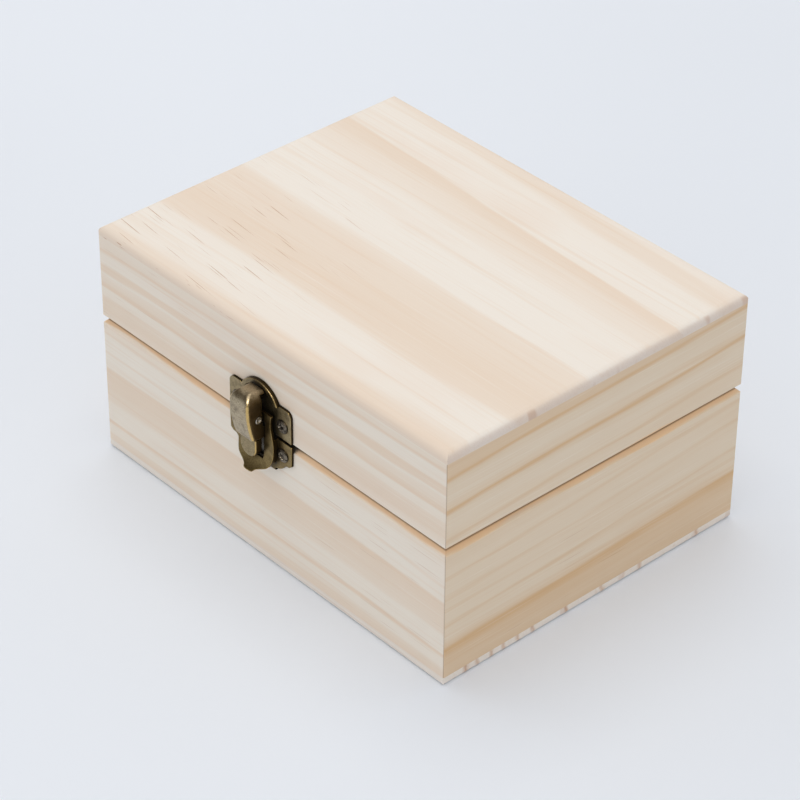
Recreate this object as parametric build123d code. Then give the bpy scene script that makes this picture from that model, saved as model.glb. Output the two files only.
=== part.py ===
from build123d import *
import math
import os

# Hinged pine box for small bottles: a base with a bottle lattice, a lid, two butt hinges
# at the back and a spring latch at the front. Lengths are in millimetres, angles in degrees.
# The origin is at the centre of the underside, +X runs along the long front, -Y is the front.

# Wooden carcass
box_length = 154.0
box_width = 119.0
wall_thickness = 7.5
bottom_thickness = 3.0
base_wall_height = 45.0
seam_gap = 0.3
lid_wall_height = 30.2
top_thickness = 3.0
seam_chamfer = 1.4
corner_ease = 0.6
top_edge_radius = 2.4
bottom_edge_radius = 1.3

# Bottle lattice
cell_column_count = 4
cell_row_count = 3
divider_thickness = 3.0
divider_height = 36.0
divider_end_clearance = 0.25
lap_clearance = 0.1

# Butt hinges
hinge_length = 22.0
hinge_inset = 29.0
hinge_leaf_height = 9.0
hinge_leaf_thickness = 0.7
hinge_leaf_corner_radius = 1.2
hinge_barrel_radius = 1.5
hinge_pin_radius = 0.7
hinge_axis_out = 0.9
hinge_knuckle_count = 3
hinge_knuckle_gap = 0.3
hinge_screw_spacing = 13.0
hinge_screw_height = 5.6

# Clearances that every fit shares
running_clearance = 0.05
screw_hole_clearance = 0.1
pilot_clearance = 0.03
body_clearance = 0.3
cut_overrun = 1.0

# Screws
hinge_screw_head_radius = 1.5
hinge_screw_head_depth = 0.7
hinge_screw_shank_radius = 0.7
hinge_screw_length = 5.0
latch_screw_head_radius = 2.15
latch_screw_rim_height = 0.3
latch_screw_head_height = 0.8
latch_screw_flat_share = 0.72
latch_screw_shank_radius = 0.95
latch_screw_length = 6.0
screw_tip_length = 1.2
screw_shank_sides = 12
screw_tip_share = 0.8
recess_length_share = 1.15
recess_width_share = 0.3
recess_depth = 0.4

# Latch: shared sizes. Its places are measured sideways from the latch's middle, up from the
# middle of the seam and out from the front of the box.
latch_offset = -1.25
latch_sheet = 0.8
latch_screw_spacing = 20.1
catch_screw_height = 6.3
base_screw_drop = 4.0

# Catch plate on the lid
catch_half_width = 13.7
catch_foot = 1.8
catch_shoulder = 12.6
catch_corner_radius = 2.2
catch_notch_width = 0.8
catch_notch_depth = 0.5
arch_half_width = 7.9
arch_top = 17.3
arch_rim_width = 1.5
arch_rim_height = 1.4
arch_rim_bevel = 0.2
catch_lip_half_width = 2.3
catch_lip_foot = 12.6
catch_lip_top = 14.7
catch_lip_reach = 2.9

# Base plate with its raised bridge and finger lip
ear_half_width = 13.9
ear_top = 0.7
ear_drop = 7.1
flange_drop = 11.2
flange_band = 2.4
bridge_height = 2.8
bridge_half_width = 7.8
bridge_top = 9.0
finger_lip_start = 4.5
finger_lip_free_start = 7.8
finger_lip_drop = 12.0
finger_lip_rise = 3.5
bridge_back = 2.0
window_top = 5.6
lug_half_gap = 1.1
lug_thickness = 0.7
lug_radius = 1.6

# Rocking hook, thumb lever, pin and spring
pivot_height = 7.3
pivot_out = 4.9
latch_pin_radius = 0.75
latch_pin_head_radius = 1.2
latch_pin_head_thickness = 0.35
hook_width = 8.4
hook_foot = 0.5
hook_top = 16.2
hook_back = 3.5
hook_low_back = 2.3
hook_foot_front = 7.1
hook_head_front = 9.1
hook_step_height = 3.7
hook_crown_radius = 3.8
hook_crown_turn = 100.0
hook_crown_rise = 0.5
hook_wall = 0.8
hook_rim_radius = 1.1
nose_underside = 15.0
nose_reach = 1.8
nose_shoulder = 3.6
nose_thickness = 0.9
lever_width = 5.6
lever_foot = 7.1
lever_tongue_width = 7.0
lever_top = 9.0
lever_back = 3.3
lever_ear_back = 3.9
lever_ear_foot = 4.4
lever_front = 5.7
lever_shoulder_drop = 0.9
lever_wall = 0.7
lever_web_top = 4.9
lever_rim_radius = 0.5
spring_wire_radius = 0.25
spring_coil_radius = 1.1
spring_wire_sides = 6
spring_whole_turns = 1
spring_leg_length = 3.8
spring_seat_height = 3.6
spring_seat_foot = 3.2

# Outline shares. The flange under the finger lip: sideways in shares of the ear's half width,
# down in shares of the flange's drop.
ear_side_shares = (0.985, 0.88)
ear_corner_shares = (0.91, 1.0)
flange_shares = ((0.81, 0.655), (0.69, 0.8), (0.45, 0.94))
# The bridge's wavy side, from its top down: sideways in shares of the bridge's half width,
# up in shares of the bridge's top, then down in shares of the finger lip's drop.
bridge_side_shares = ((0.93, 1.0), (0.87, 0.58), (0.95, 0.24))
lip_side_shares = ((1.03, 0.2), (1.0, 0.43), (0.95, 0.6), (0.84, 0.75), (0.58, 0.85), (0.28, 0.95))
# The directions in which these two wavy edges set out, sideways and up.
flange_heading_shares = (-1, -0.1)
bridge_heading_shares = (-0.3, -1)

# Places worked out from the sizes above
base_top = bottom_thickness + base_wall_height
lid_foot = base_top + seam_gap
seam_middle = base_top + seam_gap / 2
lid_wall_top = lid_foot + lid_wall_height
inside_length = box_length - 2 * wall_thickness
inside_width = box_width - 2 * wall_thickness
cell_length = (inside_length - (cell_column_count - 1) * divider_thickness) / cell_column_count
cell_width = (inside_width - (cell_row_count - 1) * divider_thickness) / cell_row_count
long_divider_places = [
    -inside_width / 2 + (row + 1) * (cell_width + divider_thickness) - divider_thickness / 2
    for row in range(cell_row_count - 1)
]
cross_divider_places = [
    -inside_length / 2 + (column + 1) * (cell_length + divider_thickness) - divider_thickness / 2
    for column in range(cell_column_count - 1)
]
front_seat = Plane(origin=(latch_offset, -box_width / 2, seam_middle), x_dir=(1, 0, 0), z_dir=(0, -1, 0))
hinge_spots = [(side * (box_length / 2 - hinge_inset), box_width / 2, seam_middle) for side in (-1, 1)]
back_seats = [Plane(origin=spot, x_dir=(-1, 0, 0), z_dir=(0, 1, 0)) for spot in hinge_spots]
from_below = (Align.CENTER, Align.CENTER, Align.MIN)


def block(low, high):
    """Box between two opposite corners."""
    size = [high[i] - low[i] for i in range(3)]
    return Pos(*low) * Box(*size, align=(Align.MIN, Align.MIN, Align.MIN))


def rod(radius, length, place):
    """Cylinder along X, centred on a place."""
    return Pos(*place) * Rot(0, 90, 0) * Cylinder(radius, length)


def side_plate(profile, half_width):
    """Solid of a side profile (out of the face over height), centred and spread both ways along X."""
    return extrude(Plane.YZ * profile, amount=half_width, both=True)


def polygon_face(points):
    """Flat face inside a closed run of points."""
    return make_face(Polyline(*points, close=True))


# Wooden carcass


def wall_ring(foot, height, chamfer_at_top):
    """Four walls in one ring, eased at the corners and chamfered outside along the seam."""
    sharp = Pos(0, 0, foot) * Box(box_length, box_width, height, align=from_below)
    seam_face = sharp.faces().sort_by(Axis.Z)[-1 if chamfer_at_top else 0]
    chamfered = chamfer(seam_face.edges(), seam_chamfer)
    eased = Pos(0, 0, foot) * Box(box_length, box_width, height, align=from_below)
    eased = fillet(eased.edges().filter_by(Axis.Z), corner_ease)
    inside = Pos(0, 0, foot) * Box(inside_length, inside_width, height, align=from_below)
    return chamfered & eased - inside


def mitre_wedge(side, foot, height):
    """Prism that holds one wall of a ring, with its ends cut at 45 degrees from the corners."""
    reach = wall_thickness + cut_overrun
    turned = side in ("left", "right")
    run = box_width if turned else box_length
    across = box_length if turned else box_width
    outline = [
        (-run / 2 - cut_overrun, -across / 2 - cut_overrun),
        (run / 2 + cut_overrun, -across / 2 - cut_overrun),
        (run / 2 - reach, -across / 2 + reach),
        (-run / 2 + reach, -across / 2 + reach),
    ]
    wedge = extrude(polygon_face(outline), amount=height)
    turn = {"front": 0, "right": 90, "back": 180, "left": 270}[side]
    return Pos(0, 0, foot) * Rot(0, 0, turn) * wedge


def carcass_walls(foot, height, chamfer_at_top):
    """The ring cut into its four mitred boards, by side."""
    ring = wall_ring(foot, height, chamfer_at_top)
    return {side: ring & mitre_wedge(side, foot, height) for side in ("front", "back", "left", "right")}


def panel(foot, thickness, edge_radius, rounded_at_top):
    """Flat board over the whole outline, with one face's edges rounded."""
    sharp = Pos(0, 0, foot) * Box(box_length, box_width, thickness, align=from_below)
    soft_face = sharp.faces().sort_by(Axis.Z)[-1 if rounded_at_top else 0]
    rounded = fillet(soft_face.edges(), edge_radius)
    eased = Pos(0, 0, foot) * Box(box_length, box_width, thickness, align=from_below)
    return rounded & fillet(eased.edges().filter_by(Axis.Z), corner_ease)


def pilot_hole(seat, place, radius, length):
    """Hole in the wood for one screw, from the face of a seat inwards."""
    hole = Pos(place[0], place[1], -length) * Cylinder(radius, length + cut_overrun, align=from_below)
    return seat.location * hole


# Bottle lattice


def lap_slots(places, along_x, open_at_top):
    """Half-height slots where the dividers of the other direction cross."""
    slot = divider_thickness + 2 * lap_clearance
    half = divider_height / 2 + lap_clearance
    low = bottom_thickness + divider_height - half if open_at_top else bottom_thickness - cut_overrun
    high = bottom_thickness + divider_height + cut_overrun if open_at_top else bottom_thickness + half
    thick = divider_thickness + 2 * cut_overrun
    cuts = []
    for place in places:
        size = (slot, thick) if along_x else (thick, slot)
        spot = (place, 0, low) if along_x else (0, place, low)
        cuts.append(Pos(*spot) * Box(*size, high - low, align=from_below))
    return cuts


def long_divider(place):
    """Divider along the length, slotted from above."""
    length = inside_length - 2 * divider_end_clearance
    board = Pos(0, 0, bottom_thickness) * Box(length, divider_thickness, divider_height, align=from_below)
    for cut in lap_slots(cross_divider_places, True, True):
        board -= cut
    return Pos(0, place, 0) * board


def cross_divider(place):
    """Divider across the width, slotted from below so that it drops over the long ones."""
    width = inside_width - 2 * divider_end_clearance
    board = Pos(0, 0, bottom_thickness) * Box(divider_thickness, width, divider_height, align=from_below)
    for cut in lap_slots(long_divider_places, False, False):
        board -= cut
    return Pos(place, 0, 0) * board


# Screws, drawn with the face they sit on at height zero and their tip below it


def cross_recess(head_radius, top):
    """Cross-shaped driver recess sunk into a head."""
    long_side = head_radius * recess_length_share
    short_side = head_radius * recess_width_share
    deep = recess_depth + cut_overrun
    bars = Box(long_side, short_side, deep, align=from_below)
    bars += Box(short_side, long_side, deep, align=from_below)
    return Pos(0, 0, top - recess_depth) * bars


def shank(radius, length, top):
    """Plain faceted shank from a height down to its pointed tip, one length below zero."""
    outline = Pos(0, 0, top) * RegularPolygon(radius, screw_shank_sides)
    straight = extrude(outline, amount=screw_tip_length - length - top)
    end = straight.faces().sort_by(Axis.Z)[0]
    point = math.degrees(math.atan(radius * screw_tip_share / screw_tip_length))
    return straight + extrude(end, amount=screw_tip_length, taper=point)


def raised_screw():
    """Latch screw: a low bevelled head on a plain shank."""
    points = [
        (0, 0),
        (latch_screw_head_radius, 0),
        (latch_screw_head_radius, latch_screw_rim_height),
        (latch_screw_head_radius * latch_screw_flat_share, latch_screw_head_height),
        (0, latch_screw_head_height),
    ]
    body = revolve(Plane.XZ * polygon_face(points), Axis.Z)
    body += shank(latch_screw_shank_radius, latch_screw_length, 0)
    return body - cross_recess(latch_screw_head_radius, latch_screw_head_height)


def flush_screw():
    """Hinge screw: a countersunk head level with the leaf."""
    points = [
        (0, -hinge_screw_head_depth),
        (hinge_screw_shank_radius, -hinge_screw_head_depth),
        (hinge_screw_head_radius, 0),
        (0, 0),
    ]
    body = revolve(Plane.XZ * polygon_face(points), Axis.Z)
    body += shank(hinge_screw_shank_radius, hinge_screw_length, -hinge_screw_head_depth)
    return body - cross_recess(hinge_screw_head_radius, 0)


def flush_seat():
    """Countersink right through a leaf, which a flush screw fits, a little wider all round."""
    head = hinge_screw_head_radius + screw_hole_clearance
    slope = hinge_screw_head_depth / (hinge_screw_head_radius - hinge_screw_shank_radius)
    points = [
        (0, -head * slope),
        (head, 0),
        (head, cut_overrun),
        (0, cut_overrun),
    ]
    return revolve(Plane.XZ * polygon_face(points), Axis.Z)


# Butt hinges, drawn on the back of the box with the axis along X at height zero


def hinge_screw_places(upward):
    """The two screws of one leaf."""
    return [(side * hinge_screw_spacing / 2, upward * hinge_screw_height) for side in (-1, 1)]


def hinge_leaf(upward, stations):
    """Leaf with its knuckles at the given stations along the barrel."""
    knuckle = (hinge_length - (hinge_knuckle_count - 1) * hinge_knuckle_gap) / hinge_knuckle_count
    start = hinge_barrel_radius + hinge_knuckle_gap
    height = hinge_leaf_height - start
    plate = Box(hinge_length, height, hinge_leaf_thickness, align=from_below)
    plate = Pos(0, upward * (start + height / 2), 0) * plate
    outer = plate.edges().filter_by(Axis.Z).group_by(Axis.Y)[-1 if upward > 0 else 0]
    leaf = fillet(outer, hinge_leaf_corner_radius)
    for station in stations:
        middle = -hinge_length / 2 + knuckle / 2 + station * (knuckle + hinge_knuckle_gap)
        strap = Box(knuckle, start, hinge_leaf_thickness, align=from_below)
        leaf += Pos(middle, upward * start / 2, 0) * strap
        leaf += rod(hinge_barrel_radius, knuckle, (middle, 0, hinge_axis_out))
    leaf -= rod(hinge_pin_radius + running_clearance, hinge_length + cut_overrun, (0, 0, hinge_axis_out))
    for place in hinge_screw_places(upward):
        leaf -= Pos(*place, hinge_leaf_thickness) * flush_seat()
    return leaf


def hinge_pin():
    """Plain pin through all the knuckles."""
    return rod(hinge_pin_radius, hinge_length, (0, 0, hinge_axis_out))


# Latch, drawn on the front of the box: X sideways, Y up from the seam, Z out of the wood


def screw_places(height):
    """The two latch screws at one height."""
    return [(side * latch_screw_spacing / 2, height) for side in (-1, 1)]


def drilled(plate, places):
    """Plate with clearance holes for its screws."""
    radius = latch_screw_shank_radius + screw_hole_clearance
    depth = latch_sheet + 2 * cut_overrun
    for place in places:
        plate -= Pos(*place, -cut_overrun) * Cylinder(radius, depth, align=from_below)
    return plate


def arch_centre():
    """Height of the centre, and radius, of the catch plate's arch."""
    rise = arch_top - catch_shoulder
    radius = (arch_half_width**2 + rise**2) / (2 * rise)
    return arch_top - radius, radius


def catch_outline():
    """Catch plate seen from the front: square foot, eared shoulders and an arch."""
    w, s, r = catch_half_width, catch_shoulder, catch_corner_radius
    notch = arch_half_width + catch_notch_width
    half = [
        Line((0, catch_foot), (w, catch_foot)),
        Line((w, catch_foot), (w, s - r)),
        RadiusArc((w, s - r), (w - r, s), -r),
        Line((w - r, s), (notch, s)),
        Line((notch, s), (arch_half_width, s - catch_notch_depth)),
        Line((arch_half_width, s - catch_notch_depth), (arch_half_width, s)),
    ]
    other = [edge.mirror(Plane.YZ) for edge in half]
    arch = ThreePointArc((arch_half_width, s), (0, arch_top), (-arch_half_width, s))
    return make_face([*half, arch, *other])


def catch_plate():
    """Plate on the lid with a raised rim round its arch and the lip that the hook holds."""
    plate = extrude(catch_outline(), amount=latch_sheet)
    height, radius = arch_centre()
    section = [
        (radius - arch_rim_width, 0),
        (radius, 0),
        (radius, arch_rim_height - arch_rim_bevel),
        (radius - arch_rim_bevel, arch_rim_height),
        (radius - arch_rim_width, arch_rim_height),
    ]
    rim = Pos(0, height, 0) * revolve(Plane.XZ * polygon_face(section), Axis.Z)
    above = block(
        (-catch_half_width, catch_shoulder - catch_notch_depth, -cut_overrun),
        (catch_half_width, arch_top + cut_overrun, bridge_height),
    )
    plate += rim & above
    shelf = [
        (catch_lip_foot, latch_sheet / 2),
        (catch_lip_foot, catch_lip_reach - latch_sheet),
        (catch_lip_foot + latch_sheet, catch_lip_reach),
        (catch_lip_top, catch_lip_reach),
        (catch_lip_top, catch_lip_reach - latch_sheet),
        (catch_lip_foot + latch_sheet, catch_lip_reach - latch_sheet),
        (catch_lip_foot + latch_sheet, latch_sheet / 2),
    ]
    plate += side_plate(polygon_face(shelf), catch_lip_half_width)
    return drilled(plate, screw_places(catch_screw_height))


def flange_outline():
    """Base plate at the level of the wood: square ears that run wavily down to a rounded foot."""
    ear = [(0, ear_top), (ear_half_width, ear_top)]
    ear.append((ear_side_shares[0] * ear_half_width, -ear_side_shares[1] * ear_drop))
    ear.append((ear_corner_shares[0] * ear_half_width, -ear_corner_shares[1] * ear_drop))
    wave = [ear[-1]]
    wave += [(across * ear_half_width, -down * flange_drop) for across, down in flange_shares]
    wave.append((0, -flange_drop))
    half = [Polyline(*ear), Spline(*wave, tangents=[flange_heading_shares, (-1, 0)])]
    return make_face([*half, *(edge.mirror(Plane.YZ) for edge in half)])


def bridge_outline(inset):
    """Raised bridge and finger lip seen from the front, with wavy sides, drawn one inset in."""
    half, drop = bridge_half_width, finger_lip_drop
    side = [(across * half - inset, up * bridge_top) for across, up in bridge_side_shares]
    side += [(across * half - inset, -down * drop) for across, down in lip_side_shares]
    side.append((0, inset - drop))
    run = Spline(*side, tangents=[bridge_heading_shares, (-1, 0)])
    top = Line(side[0], (-side[0][0], side[0][1]))
    return make_face([run, run.mirror(Plane.YZ), top])


def bridge_front(inset):
    """Side profile of the bridge, level and then swept outwards along the finger lip."""
    run = finger_lip_drop - finger_lip_start
    radius = (run**2 + finger_lip_rise**2) / (2 * finger_lip_rise)
    level = bridge_height - inset
    reach = radius + inset
    end = math.asin(run / radius)
    foot = (-finger_lip_start - reach * math.sin(end), level + reach * (1 - math.cos(end)))
    mid = (-finger_lip_start - reach * math.sin(end / 2), level + reach * (1 - math.cos(end / 2)))
    tip = (foot[0] - cut_overrun * math.cos(end), foot[1] + cut_overrun * math.sin(end))
    knee = (-finger_lip_start, level)
    head = (bridge_top + cut_overrun, level)
    lines = Polyline(foot, tip, (tip[0], -cut_overrun), (head[0], -cut_overrun), head, knee)
    return make_face([lines, ThreePointArc(knee, mid, foot)])


def lug(side):
    """Ear that carries the latch pin, standing on the bridge."""
    foot = bridge_height - latch_sheet
    web = block(
        (0, pivot_height - lug_radius, foot),
        (lug_thickness, pivot_height + lug_radius, pivot_out),
    )
    eye = rod(lug_radius, lug_thickness, (lug_thickness / 2, pivot_height, pivot_out))
    near = lug_half_gap if side > 0 else -lug_half_gap - lug_thickness
    return Pos(near, 0, 0) * (web + eye)


def latch_base_plate():
    """Plate on the base: ears, a hollow raised bridge with lugs, a window and a finger lip."""
    height = bridge_height + finger_lip_rise + cut_overrun
    width = bridge_half_width + 2 * cut_overrun
    raised = extrude(bridge_outline(0), amount=height) & side_plate(bridge_front(0), width)
    plate = extrude(flange_outline(), amount=latch_sheet) + raised
    hollow = Pos(0, 0, -cut_overrun) * extrude(bridge_outline(latch_sheet), amount=height)
    hollow += block(
        (-width, -finger_lip_drop - cut_overrun, latch_sheet),
        (width, -finger_lip_free_start, height),
    )
    hollow -= block(
        (-width, -finger_lip_drop - cut_overrun, -2 * cut_overrun),
        (width, flange_band - flange_drop, latch_sheet),
    )
    plate -= hollow & side_plate(bridge_front(latch_sheet), width)
    plate -= block((-width, ear_top, -cut_overrun), (width, bridge_top + cut_overrun, bridge_back))
    for half, low in (
        (lever_tongue_width / 2 + body_clearance, -lever_foot - body_clearance),
        (hook_width / 2 + body_clearance, hook_foot - body_clearance),
    ):
        plate -= block((-half, low, -cut_overrun), (half, window_top, height))
    seat_half_width = lug_half_gap - spring_wire_radius
    seat_low = (-seat_half_width, spring_seat_foot, bridge_height - latch_sheet)
    plate += block(seat_low, (seat_half_width, bridge_top - latch_sheet, bridge_height))
    plate += lug(-1) + lug(1)
    length = 2 * (lug_half_gap + lug_thickness) + cut_overrun
    plate -= rod(latch_pin_radius + running_clearance, length, (0, pivot_height, pivot_out))
    return drilled(plate, screw_places(-base_screw_drop))


def round_ended(width, low, high, round_top):
    """Flat bar outline with one square end and one round end."""
    half = width / 2
    if round_top:
        straight = Polyline((-half, high - half), (-half, low), (half, low), (half, high - half))
        end = ThreePointArc((half, high - half), (0, high), (-half, high - half))
    else:
        straight = Polyline((-half, low + half), (-half, high), (half, high), (half, low + half))
        end = ThreePointArc((half, low + half), (0, low), (-half, low + half))
    return make_face([straight, end])


def hook_front(low, inset):
    """Front and crown of the hook in side view: a long lean that turns over towards the nose."""
    radius = hook_crown_radius - inset
    middle = (hook_top - hook_crown_radius, hook_head_front - hook_crown_radius)
    angles = [math.radians(turn) for turn in (0, hook_crown_turn / 2, hook_crown_turn)]
    crown = [(middle[0] + radius * math.sin(turn), middle[1] + radius * math.cos(turn)) for turn in angles]
    face = TangentArc(crown[0], (low, hook_foot_front - inset), tangent=(-1, 0))
    return [face, ThreePointArc(*crown)]


def hook_profile():
    """Side profile of the hook: a leaning front, a round crown and a nose turned in."""
    front = hook_front(hook_foot, 0)
    back = Polyline(
        front[1] @ 1,
        (nose_underside + nose_thickness, nose_reach),
        (nose_underside, nose_reach),
        (nose_underside, hook_back),
        (hook_step_height + hook_back - hook_low_back, hook_back),
        (hook_step_height, hook_low_back),
        (hook_foot, hook_low_back),
        (hook_foot, hook_foot_front),
    )
    return make_face([*front, back])


def hook_hollow_profile():
    """Side profile of the space inside the hook, one wall in from its front and crown."""
    low = hook_foot - cut_overrun
    front = hook_front(low, hook_wall)
    back = Polyline(
        front[1] @ 1,
        (nose_underside, nose_shoulder),
        (nose_underside, 0),
        (low, 0),
        (low, hook_foot_front - hook_wall),
    )
    return make_face([*front, back])


def latch_hook():
    """Pressed hook: a round-headed shell, open at the back and the foot, with its nose turned in."""
    over = hook_top + hook_crown_rise
    outer = extrude(round_ended(hook_width, hook_foot, over, True), amount=hook_head_front + cut_overrun)
    shell = outer & side_plate(hook_profile(), hook_width)
    rim = [
        edge for edge in shell.edges()
        if edge.geom_type != GeomType.LINE and edge.center().Z > hook_back
    ]
    shell = fillet(rim, hook_rim_radius)
    inner = round_ended(hook_width - 2 * hook_wall, hook_foot - cut_overrun, over - hook_wall, True)
    hollow = extrude(inner, amount=hook_head_front + cut_overrun)
    shell -= hollow & side_plate(hook_hollow_profile(), hook_width)
    return shell - rod(latch_pin_radius + running_clearance, 2 * hook_width, (0, pivot_height, pivot_out))


def lever_profile(inset):
    """Side profile of the thumb lever: a low tongue, a shoulder and a part under the hook."""
    seat = hook_foot_front - hook_wall
    low = -lever_foot - cut_overrun
    high = lever_top + cut_overrun
    return polygon_face([
        (low, 0),
        (low, lever_front - inset),
        (hook_foot - lever_shoulder_drop, lever_front - inset),
        (hook_foot, seat - inset),
        (high, seat - inset),
        (high, 0),
    ])


def thumb_lever():
    """Channel with a rounded, shouldered thumb end below the hook and two ears round the pin."""
    shoulder = hook_foot - lever_shoulder_drop
    outer = extrude(round_ended(lever_tongue_width, -lever_foot, shoulder, False), amount=hook_head_front)
    neck_low = (-lever_width / 2, shoulder - cut_overrun, 0)
    outer += block(neck_low, (lever_width / 2, lever_top, hook_head_front))
    body = outer & side_plate(lever_profile(0), lever_width)
    tongue = body.faces().filter_by(Axis.Z).group_by(Axis.Z)[1].sort_by(Axis.Y)[0]
    rim = [edge for edge in tongue.edges() if edge.center().Y < shoulder - lever_rim_radius]
    body = fillet(rim, lever_rim_radius)
    inner_width = lever_width - 2 * lever_wall
    inner = round_ended(inner_width, -lever_foot + lever_wall, lever_top + cut_overrun, False)
    hollow = extrude(inner, amount=hook_head_front) & side_plate(lever_profile(lever_wall), lever_width)
    body -= hollow
    low_back = (-lever_width, -lever_foot - cut_overrun, -cut_overrun)
    body -= block(low_back, (lever_width, lever_top + cut_overrun, lever_back))
    ear_low = (-lever_width, lever_ear_foot, -cut_overrun)
    body -= block(ear_low, (lever_width, lever_top + cut_overrun, lever_ear_back))
    open_low = (-inner_width / 2, lever_web_top, -cut_overrun)
    body -= block(open_low, (inner_width / 2, lever_top + cut_overrun, hook_head_front))
    pivot = (0, pivot_height, pivot_out)
    return body - rod(latch_pin_radius + running_clearance, lever_width + cut_overrun, pivot)


def latch_pin():
    """Pin through the hook, the lever and the lugs, with a flat riveted head on each side."""
    pin = rod(latch_pin_radius, hook_width, (0, pivot_height, pivot_out))
    for side in (-1, 1):
        middle = side * (hook_width + latch_pin_head_thickness) / 2
        pin += rod(latch_pin_head_radius, latch_pin_head_thickness, (middle, pivot_height, pivot_out))
    return pin


def leg_angle(height, out, front):
    """Angle of the line from a leg's seat that just touches the coil, on its front or its back."""
    up, away = pivot_height - height, pivot_out - out
    lean = math.asin(spring_coil_radius / math.hypot(up, away))
    return math.degrees(math.atan2(away, up) + (lean if front else -lean))


def latch_spring():
    """Hairpin spring: a coil round the pin with one leg on the bridge and one behind the lever's web."""
    gap = spring_wire_radius + running_clearance
    web_back = hook_foot_front - hook_wall - lever_wall
    first = leg_angle(spring_seat_height, bridge_height + gap, False) - 90
    last = leg_angle(lever_web_top, web_back - gap, True) + 90
    pitch = 2 * spring_wire_radius + running_clearance
    length = pitch * (spring_whole_turns + (last - first) / 360)
    start = (0, math.cos(math.radians(first)), math.sin(math.radians(first)))
    frame = Plane(origin=(-length / 2, pivot_height, pivot_out), x_dir=start, z_dir=(1, 0, 0))
    coil_path = frame.location * Helix(pitch, length, spring_coil_radius)
    wire = RegularPolygon(spring_wire_radius, spring_wire_sides)
    spring = None
    for share, way in ((0, -1), (1, 1)):
        section = Plane(origin=coil_path @ share, z_dir=(coil_path % share) * way) * wire
        leg = extrude(section, amount=spring_leg_length)
        spring = spring + leg if spring else sweep(section, path=coil_path, is_frenet=True) + leg
    return spring


def write(name, shape):
    """Write one named piece."""
    export_step(shape, f"parts/{name}.step")


def main():
    """Build every piece and write it under its name."""
    os.makedirs("parts", exist_ok=True)
    latch_pilot = latch_screw_shank_radius + pilot_clearance
    hinge_pilot = hinge_screw_shank_radius + pilot_clearance
    hinge_depth = hinge_screw_length - hinge_leaf_thickness

    base_walls = carcass_walls(bottom_thickness, base_wall_height, True)
    lid_walls = carcass_walls(lid_foot, lid_wall_height, False)
    for place in screw_places(-base_screw_drop):
        base_walls["front"] -= pilot_hole(front_seat, place, latch_pilot, latch_screw_length)
    for place in screw_places(catch_screw_height):
        lid_walls["front"] -= pilot_hole(front_seat, place, latch_pilot, latch_screw_length)
    for seat in back_seats:
        for place in hinge_screw_places(-1):
            base_walls["back"] -= pilot_hole(seat, place, hinge_pilot, hinge_depth)
        for place in hinge_screw_places(1):
            lid_walls["back"] -= pilot_hole(seat, place, hinge_pilot, hinge_depth)
    for side in base_walls:
        write(f"base_{side}_wall", base_walls[side])
        write(f"lid_{side}_wall", lid_walls[side])
    write("base_bottom_panel", panel(0, bottom_thickness, bottom_edge_radius, False))
    write("lid_top_panel", panel(lid_wall_top, top_thickness, top_edge_radius, True))

    for number, place in enumerate(long_divider_places, 1):
        write(f"long_divider_{number}", long_divider(place))
    for number, place in enumerate(cross_divider_places, 1):
        write(f"cross_divider_{number}", cross_divider(place))

    base_stations = list(range(0, hinge_knuckle_count, 2))
    lid_stations = list(range(1, hinge_knuckle_count, 2))
    flush = flush_screw()
    hinge_screws = {1: [], -1: []}
    for hand, seat in zip(("left", "right"), back_seats):
        write(f"hinge_{hand}_base_leaf", seat.location * hinge_leaf(-1, base_stations))
        write(f"hinge_{hand}_lid_leaf", seat.location * hinge_leaf(1, lid_stations))
        write(f"hinge_{hand}_pin", seat.location * hinge_pin())
        for upward in (1, -1):
            for place in hinge_screw_places(upward):
                hinge_screws[upward].append(seat.location * Pos(*place, hinge_leaf_thickness) * flush)
    write("hinge_lid_screws", Compound(children=hinge_screws[1]))
    write("hinge_base_screws", Compound(children=hinge_screws[-1]))

    raised = raised_screw()
    for name, height in (("latch_lid_screws", catch_screw_height), ("latch_base_screws", -base_screw_drop)):
        screws = [front_seat.location * Pos(*place, latch_sheet) * raised for place in screw_places(height)]
        write(name, Compound(children=screws))
    latch_pieces = {
        "latch_catch_plate": catch_plate(),
        "latch_base_plate": latch_base_plate(),
        "latch_hook": latch_hook(),
        "latch_thumb_lever": thumb_lever(),
        "latch_pin": latch_pin(),
        "latch_spring": latch_spring(),
    }
    for name, piece in latch_pieces.items():
        write(name, front_seat.location * piece)


if __name__ == "__main__":
    main()
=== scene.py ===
"""Looks of a small hinged pine box with a lattice for bottles, two butt hinges and an aged brass latch.

Everything is in metres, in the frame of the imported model: +X along the long front, -Y out of the
front, +Z up. Sizes inside the classes are in millimetres and are turned into metres by MM.
"""
import logging
import math
from dataclasses import dataclass
from enum import Enum
from typing import Any, Mapping, Sequence

import bpy
import numpy as np
from mathutils import Matrix, Vector


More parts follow.
